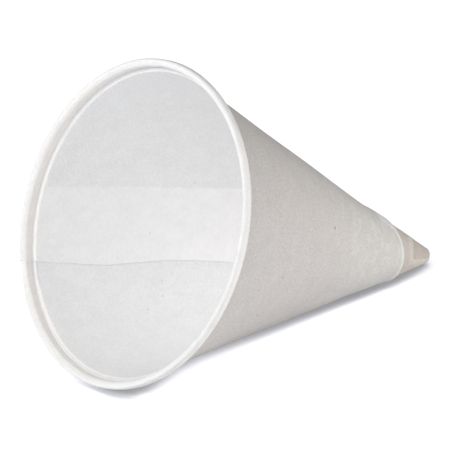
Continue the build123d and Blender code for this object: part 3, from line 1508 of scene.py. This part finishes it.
@dataclass(frozen=True)
class Viewpoint:
    """Where the camera stands to the cup, as the cup's axis and mouth are seen from it.

    Attributes:
        away: Angle of the cup's axis from the line of sight, in radians.
        down: Turn of the axis below the level, in radians.
        mouth: Centre of the mouth right of, below and in front of the camera.
        middle: Middle of the cup, given in the same way.
        lens: Focal length.
        sensor: Width of the sensor, in the same measure.
        clip: Nearest and furthest distance that is drawn, in metres.
    """

    away: float = 0.8407430
    down: float = 0.1165162
    mouth: Triple = (-20.782829, -0.288282, 862.763031)
    middle: Triple = (10.0, 0.0, 890.0)
    lens: float = 320.0
    sensor: float = 36.0
    clip: Pair = (0.01, 20.0)

    def axes(self) -> Matrix:
        """Gives the cup's own axes as seen from the camera.

        Returns:
            Rows of the cup's X, Y and Z, each right, down and forward.
        """
        side = sin(self.away)
        axis = Vector((side * cos(self.down), side * sin(self.down), cos(self.away)))
        level = Vector((0.0, 1.0, 0.0)).cross(axis).normalized()
        return Matrix((axis.cross(level), -level, axis))

    def direction(self, right: float, down: float, forward: float) -> Vector:
        """Turns a direction seen from the camera into the cup's frame."""
        return self.axes() @ Vector((right, down, forward))

    def point(self, right: float, down: float, forward: float) -> Vector:
        """Turns a point seen from the camera, in millimetres, into the cup's frame in metres."""
        return self.axes() @ (Vector((right, down, forward)) - Vector(self.mouth)) * MM

    def set_up_camera(self) -> None:
        """Sets up the camera at the photo's viewpoint."""
        data = bpy.data.cameras.new("camera")
        data.lens = self.lens
        data.sensor_width = self.sensor
        data.sensor_fit = "HORIZONTAL"
        data.clip_start, data.clip_end = self.clip
        camera = bpy.data.objects.new("camera", data)
        columns = (
            self.direction(1.0, 0.0, 0.0),
            self.direction(0.0, -1.0, 0.0),
            self.direction(0.0, 0.0, -1.0),
        )
        turn = Matrix(columns).transposed().to_4x4()
        camera.matrix_world = Matrix.Translation(self.point(0.0, 0.0, 0.0)) @ turn
        bpy.context.collection.objects.link(camera)
        bpy.context.scene.camera = camera


@dataclass(frozen=True)
class Lamp:
    """A soft lamp, placed as seen from the camera.

    Attributes:
        name: Name of the lamp.
        right: Place right of the middle of the cup, in millimetres.
        down: Place below it.
        forward: Place behind it.
        size: Side of the square panel, in millimetres.
        watts: Power.
    """

    name: str
    right: float
    down: float
    forward: float
    size: float
    watts: float

    def hang(self, view: Viewpoint) -> None:
        """Hangs the lamp so that it faces the cup.

        Args:
            view: Viewpoint of the camera.
        """
        data = bpy.data.lights.new(self.name, "AREA")
        data.shape = "SQUARE"
        data.size = self.size * MM
        data.energy = self.watts
        lamp = bpy.data.objects.new(self.name, data)
        spot = view.point(*(Vector(view.middle) + Vector((self.right, self.down, self.forward))))
        aim = (view.point(*view.middle) - spot).to_track_quat("-Z", "Y")
        lamp.matrix_world = Matrix.Translation(spot) @ aim.to_matrix().to_4x4()
        bpy.context.collection.objects.link(lamp)


@dataclass
class Studio:
    """The table under the cup, the lamps and the surrounding light.

    Attributes:
        view: Viewpoint of the camera.
        rise: Angle of the camera above the table, in degrees.
        roll: Turn of the camera about its line of sight, in degrees.
        surround: Strength of the surrounding light.
        table_glow: Light of its own that the table shows to the camera, away from the cup.
        table_floor: The same light where the cup touches the table.
        shade_reach: Distances from the cup at which the table's own light is whole, at heights
            along the cup, in millimetres.
        shade_start: Shares of open sky at which it is down to table_floor, at such heights.
        shade_end: Share of open sky at which it is whole again.
        shade_aside: Places along Y between which the shade fades out.
        shade_narrowing: How much of its reach it loses on the way, as a share.
        shade_samples: Rays by which the open sky is measured.
        table_size: Side of the table, in metres.
        table_colour: Colour of the table.
        faint: Share of that colour that the camera sees lit by the lamps.
        glow_colour: Colour of its own light.
        lamps: The lamps.
    """

    view: Viewpoint = Viewpoint()
    rise: float = 20.75
    roll: float = 4.0
    surround: float = 0.155
    table_glow: float = 1.0
    table_floor: float = 0.24
    shade_reach: Knots = (
        (-8.0, 1.2), (-4.0, 2.6), (1.0, 3.1), (4.0, 3.9), (7.0, 4.5), (12.0, 3.9),
        (18.0, 3.1), (24.0, 2.75), (50.0, 2.35), (75.0, 2.4), (84.0, 3.1), (90.0, 3.8),
    )
    shade_start: Knots = (
        (-8.0, 0.5), (8.0, 0.47), (16.0, 0.28), (24.0, 0.2), (90.0, 0.17),
    )
    shade_end: float = 0.97
    shade_aside: Pair = (4.0, 25.0)
    shade_narrowing: float = 0.4
    shade_samples: int = 8
    table_size: float = 6.0
    table_colour: Colour = (0.88, 0.90, 0.94)
    faint: float = 0.35
    glow_colour: Colour = (0.95, 0.955, 1.0)
    lamps: tuple[Lamp, ...] = (
        Lamp("mouth", -240.0, -110.0, -640.0, 300.0, 1.98),
        Lamp("left", -560.0, -220.0, -340.0, 300.0, 2.4),
        Lamp("side", 640.0, 20.0, -200.0, 340.0, 3.4),
    )

    def lay_table(self, cup: bpy.types.Object) -> None:
        """Lays the table so that the cup rests on it along its side.

        Args:
            cup: The cup.
        """
        level = cos(radians(self.rise))
        roll = radians(self.roll)
        up = self.view.direction(-level * sin(roll), -level * cos(roll), -sin(radians(self.rise)))
        low = min(cup.data.vertices, key=lambda vertex: vertex.co.dot(up)).co
        bpy.ops.object.select_all(action="DESELECT")
        bpy.ops.mesh.primitive_plane_add(size=self.table_size, location=(0.0, 0.0, 0.0))
        table = bpy.context.active_object
        table.name = "table"
        level_turn = up.to_track_quat("Z", "Y").to_matrix().to_4x4()
        table.data.transform(Matrix.Translation(up * low.dot(up)) @ level_turn)
        table.data.materials.append(self.table_material())

    def table_material(self) -> bpy.types.Material:
        """Builds the table's finish, which is clear from below.

        Returns:
            The material.
        """
        material = bpy.data.materials.new("table")
        material.use_nodes = True
        graph = Graph(material.node_tree)
        matt = graph.coloured("ShaderNodeBsdfDiffuse", self.table_colour)
        red, green, blue = (self.faint * value for value in self.table_colour)
        faint = graph.coloured("ShaderNodeBsdfDiffuse", (red, green, blue))
        glow = graph.mix_shaders(
            self.open_sky(graph),
            graph.coloured("ShaderNodeEmission", self.glow_colour, Strength=self.table_floor),
            graph.coloured("ShaderNodeEmission", self.glow_colour, Strength=self.table_glow),
        )
        both = graph.node("ShaderNodeAddShader", {}, {0: faint.outputs[0], 1: glow.outputs[0]})
        seen = graph.node("ShaderNodeLightPath", {}, {}).outputs["Is Camera Ray"]
        below = graph.node("ShaderNodeNewGeometry", {}, {}).outputs["Backfacing"]
        clear = graph.node("ShaderNodeBsdfTransparent", {}, {})
        surface = graph.mix_shaders(below, graph.mix_shaders(seen, matt, both), clear)
        graph.node("ShaderNodeOutputMaterial", {}, {"Surface": surface.outputs[0]})
        return material

    def open_sky(self, graph: Graph) -> Reading:
        """Reads how far a place on the table is from the cup's soft shade.

        Args:
            graph: Graph of the table's material.

        Returns:
            0 where the cup touches the table, rising to 1 outside the shade.
        """
        place = graph.node("ShaderNodeTexCoord", {}, {}).outputs["Object"]
        parts = graph.node("ShaderNodeSeparateXYZ", {}, {0: place}).outputs
        height = Reading(graph, parts["Z"])
        aside = graph.ease(parts["Y"], *(edge * MM for edge in self.shade_aside))
        reach = self.along_cup(graph, height, self.shade_reach) * MM
        inputs = {"Distance": reach * (1.0 - aside * self.shade_narrowing)}
        settings = {"samples": self.shade_samples}
        near = graph.node("ShaderNodeAmbientOcclusion", settings, inputs)
        start = self.along_cup(graph, height, self.shade_start)
        share = graph.ease(near.outputs["AO"], start, self.shade_end)
        return 1.0 - (1.0 - share) * (1.0 - aside)

    @staticmethod
    def along_cup(graph: Graph, height: Reading, knots: Knots) -> Reading:
        """Reads a value that changes along the cup.

        Args:
            graph: Graph of the material.
            height: Height along the cup, in metres.
            knots: Heights in millimetres, and the value at each.

        Returns:
            The value.
        """
        low, high = knots[0][0], knots[-1][0]
        full = max(value for _, value in knots)
        stops = [((at - low) / (high - low), value / full) for at, value in knots]
        share = {"Fac": (height - low * MM) * (1.0 / (high * MM - low * MM))}
        return graph.read("ShaderNodeValToRGB", {"stops": stops}, share, "Color") * full

    def light(self) -> None:
        """Hangs the lamps and sets the surrounding light, which the camera sees as white."""
        for lamp in self.lamps:
            lamp.hang(self.view)
        world = bpy.data.worlds.new("surround")
        world.use_nodes = True
        bpy.context.scene.world = world
        graph = Graph(world.node_tree)
        seen = graph.read("ShaderNodeLightPath", {}, {}, "Is Camera Ray")
        strength = seen * (1.0 - self.surround) + self.surround
        sky = graph.coloured("ShaderNodeBackground", (1.0, 1.0, 1.0), Strength=strength)
        graph.node("ShaderNodeOutputWorld", {}, {"Surface": sky.outputs[0]})
        bpy.context.scene.view_settings.view_transform = "Standard"


def main() -> None:
    """Builds the cup, its table, lamps and camera."""
    logging.basicConfig(level=logging.INFO, format="%(name)s: %(message)s")
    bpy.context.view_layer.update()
    cup = WoundCup()
    piece = cup.build()
    cup.dress(piece)
    LOG.info("paper cup: %d faces", len(piece.data.polygons))
    studio = Studio()
    studio.view.set_up_camera()
    studio.lay_table(piece)
    studio.light()
    LOG.info("table, %d lamps and camera", len(studio.lamps))


if __name__ == "__main__":
    main()
